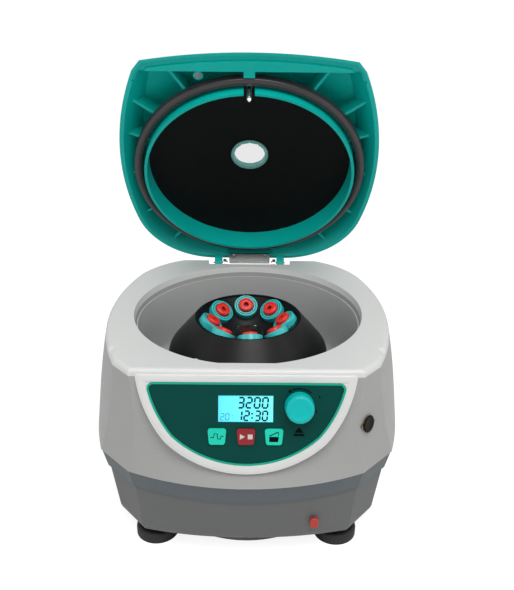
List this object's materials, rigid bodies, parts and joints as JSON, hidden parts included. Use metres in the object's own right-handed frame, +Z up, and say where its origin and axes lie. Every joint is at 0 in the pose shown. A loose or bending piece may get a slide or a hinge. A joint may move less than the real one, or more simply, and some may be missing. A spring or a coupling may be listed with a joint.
{
  "type": "laboratory centrifuge",
  "caption": "Bench centrifuge for blood plasma tubes: flared grey housing with a slanted control panel, bowl with a slanted-bore rotor, and a domed lid hinged open",
  "frame": {"origin": "on the bench, under the middle of the whole object's box with its lid open", "axes": "+Z up, -Y towards the control panel's side, +X to the right of someone facing the panel"},
  "size_m": [0.32, 0.3296, 0.4601],
  "materials": {
    "housing_shell": "fine satin light grey",
    "base_shell": "fine satin mid grey",
    "panel_face": "dark green printed panel with a lighter green border",
    "display": "lit display behind a clear window",
    "knob_teal": "smooth teal",
    "button_teal": "satin teal green",
    "button_red": "satin dark red",
    "rotor_black": "satin black coating on light metal",
    "nut_black": "gloss black",
    "steel": "turned",
    "bowl_steel": "smooth spun sheet",
    "rubber_black": "matt",
    "seal_rubber": "matt, soft",
    "sleeve_teal": "teal",
    "tube_clear": "clear",
    "stopper_red": "satin red",
    "lid_teal": "satin teal",
    "liner_black": "satin black",
    "window_clear": "clear",
    "window_rim_teal": "teal",
    "pin_chrome": "polished",
    "brass": "worn polish",
    "zinc_steel": "zinc plated sheet",
    "motor_paint": "satin dark grey",
    "board": "circuit board",
    "black_plastic": "matt black",
    "sensor_white": "white",
    "tab_red": "satin red"
  },
  "bodies": {
    "base": {"upper_housing": "housing_shell", "lower_housing": "base_shell", "rotor_bowl": "bowl_steel", "shaft_cuff": "rubber_black", "motor_plate": "zinc_steel", "motor_dampers": "rubber_black", "motor_case": "motor_paint", "motor_bearings": "steel", "main_board": "board", "display_board": "board", "control_panel": "panel_face", "display_glass": "display", "knob_encoder": "black_plastic", "latch_bracket": "zinc_steel", "latch_solenoid": "motor_paint", "lid_sensor": "sensor_white", "key_bush": "brass", "mains_inlet": "black_plastic", "switch_frame": "black_plastic", "feet": "rubber_black", "foot_screws": "zinc_steel", "hinge_bracket": "zinc_steel", "hinge_pins": "steel"},
    "rotor": {"rotor": "rotor_black", "rotor_nut": "nut_black", "drive_shaft": "steel", "tube_sleeves": "sleeve_teal"},
    "lid": {"lid_shell": "lid_teal", "lid_liner": "liner_black", "lid_seal": "seal_rubber", "window_glass": "window_clear", "window_ring": "window_rim_teal", "latch_pin": "pin_chrome", "latch_nut": "pin_chrome", "lid_magnet": "steel", "hinge_plate": "zinc_steel"},
    "knob": {"knob": "knob_teal"},
    "pulse_button": {"pulse_button": "button_teal"},
    "start_stop_button": {"start_stop_button": "button_red"},
    "lid_button": {"lid_button": "button_teal"},
    "latch_hook": {"latch_hook": "zinc_steel"},
    "release_key": {"release_key": "steel"},
    "release_tab": {"release_tab": "tab_red"},
    "mains_rocker": {"mains_rocker": "black_plastic"},
    "tube_1": {"tube_1": "tube_clear", "stopper_1": "stopper_red"},
    "tube_2": {"tube_2": "tube_clear", "stopper_2": "stopper_red"},
    "tube_3": {"tube_3": "tube_clear", "stopper_3": "stopper_red"},
    "tube_4": {"tube_4": "tube_clear", "stopper_4": "stopper_red"},
    "tube_5": {"tube_5": "tube_clear", "stopper_5": "stopper_red"},
    "tube_6": {"tube_6": "tube_clear", "stopper_6": "stopper_red"},
    "tube_7": {"tube_7": "tube_clear", "stopper_7": "stopper_red"},
    "tube_8": {"tube_8": "tube_clear", "stopper_8": "stopper_red"}
  },
  "joints": [
    {"name": "lid_hinge", "type": "hinge", "parent": "base", "child": "lid", "pos_m": [0, 0.14366, 0.1942], "axis": [-1, 0, 0], "range_deg": [-62, 0]},
    {"name": "rotor_spin", "type": "hinge", "parent": "base", "child": "rotor", "pos_m": [0, 0.00115, 0.1628], "axis": [0, 0, 1], "continuous": true},
    {"name": "tube_1_lift", "type": "slide", "parent": "rotor", "child": "tube_1", "axis": [0.0429, -0.6142, 0.788], "range_m": [0, 0.016]},
    {"name": "tube_2_lift", "type": "slide", "parent": "rotor", "child": "tube_2", "axis": [0.4646, -0.4039, 0.788], "range_m": [0, 0.016]},
    {"name": "tube_3_lift", "type": "slide", "parent": "rotor", "child": "tube_3", "axis": [0.6142, 0.0429, 0.788], "range_m": [0, 0.016]},
    {"name": "tube_4_lift", "type": "slide", "parent": "rotor", "child": "tube_4", "axis": [0.4039, 0.4646, 0.788], "range_m": [0, 0.016]},
    {"name": "tube_5_lift", "type": "slide", "parent": "rotor", "child": "tube_5", "axis": [-0.0429, 0.6142, 0.788], "range_m": [0, 0.016]},
    {"name": "tube_6_lift", "type": "slide", "parent": "rotor", "child": "tube_6", "axis": [-0.4646, 0.4039, 0.788], "range_m": [0, 0.016]},
    {"name": "tube_7_lift", "type": "slide", "parent": "rotor", "child": "tube_7", "axis": [-0.6142, -0.0429, 0.788], "range_m": [0, 0.016]},
    {"name": "tube_8_lift", "type": "slide", "parent": "rotor", "child": "tube_8", "axis": [-0.4039, -0.4646, 0.788], "range_m": [0, 0.016]},
    {"name": "knob_turn", "type": "hinge", "parent": "base", "child": "knob", "pos_m": [0.0482, -0.14001, 0.16955], "axis": [0, -0.9432, 0.3322], "continuous": true},
    {"name": "pulse_button_press", "type": "slide", "parent": "base", "child": "pulse_button", "axis": [0, 0.9432, -0.3322], "range_m": [0, 0.001], "stiffness_N_per_m": 600},
    {"name": "start_stop_button_press", "type": "slide", "parent": "base", "child": "start_stop_button", "axis": [0, 0.9432, -0.3322], "range_m": [0, 0.001], "stiffness_N_per_m": 600},
    {"name": "lid_button_press", "type": "slide", "parent": "base", "child": "lid_button", "axis": [0, 0.9432, -0.3322], "range_m": [0, 0.001], "stiffness_N_per_m": 600},
    {"name": "latch_swing", "type": "hinge", "parent": "base", "child": "latch_hook", "pos_m": [0.02, -0.12384, 0.18645], "axis": [0, 0, 1], "range_deg": [-20, 0]},
    {"name": "release_key_turn", "type": "hinge", "parent": "base", "child": "release_key", "pos_m": [0.11324, -0.12886, 0.144], "axis": [0.6617, -0.7409, 0.115], "range_deg": [0, 90]},
    {"name": "release_tab_pull", "type": "slide", "parent": "base", "child": "release_tab", "axis": [0, -1, 0], "range_m": [0, 0.012], "stiffness_N_per_m": 150},
    {"name": "mains_rocker_tip", "type": "hinge", "parent": "base", "child": "mains_rocker", "pos_m": [-0.045, 0.14745, 0.04217], "axis": [0, 0.0844, 0.9964], "range_deg": [-20, 0]}
  ]
}
